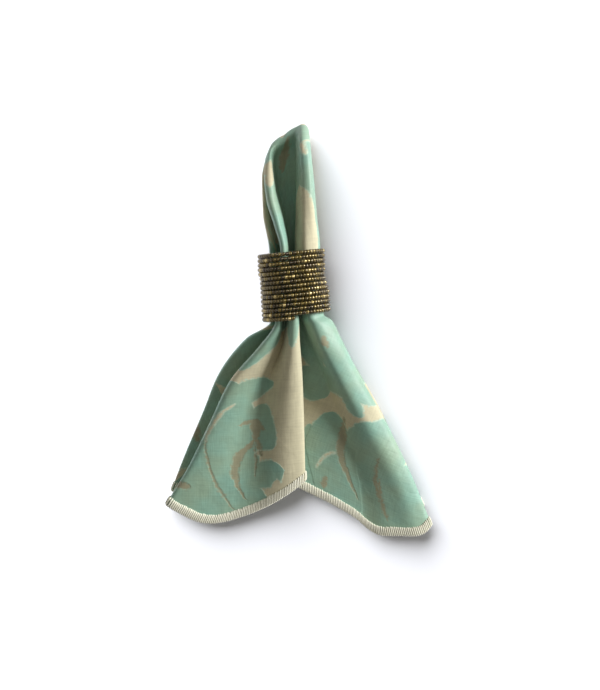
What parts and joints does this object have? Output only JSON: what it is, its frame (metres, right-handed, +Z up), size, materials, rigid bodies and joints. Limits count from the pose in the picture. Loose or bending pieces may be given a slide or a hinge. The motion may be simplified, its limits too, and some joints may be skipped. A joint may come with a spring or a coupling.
{
  "type": "napkin in a ring",
  "caption": "Square cloth napkin gathered at its middle and drawn through a ring of coiled glass beads, with a pointed plume above and a spread fan of folds below.",
  "frame": {"origin": "middle of the whole object's box, on the surface that it lies on", "axes": "+Y towards the tip of the plume, +X to the right as seen from above, +Z up from the surface"},
  "size_m": [0.1628, 0.249, 0.0344],
  "materials": {
    "jacquard cloth": "woven satin damask",
    "glass beads": "small glossy glass beads with a metallic lining"
  },
  "bodies": {
    "root": {"napkin": "jacquard cloth", "bead_coil": "glass beads"}
  },
  "joints": []
}
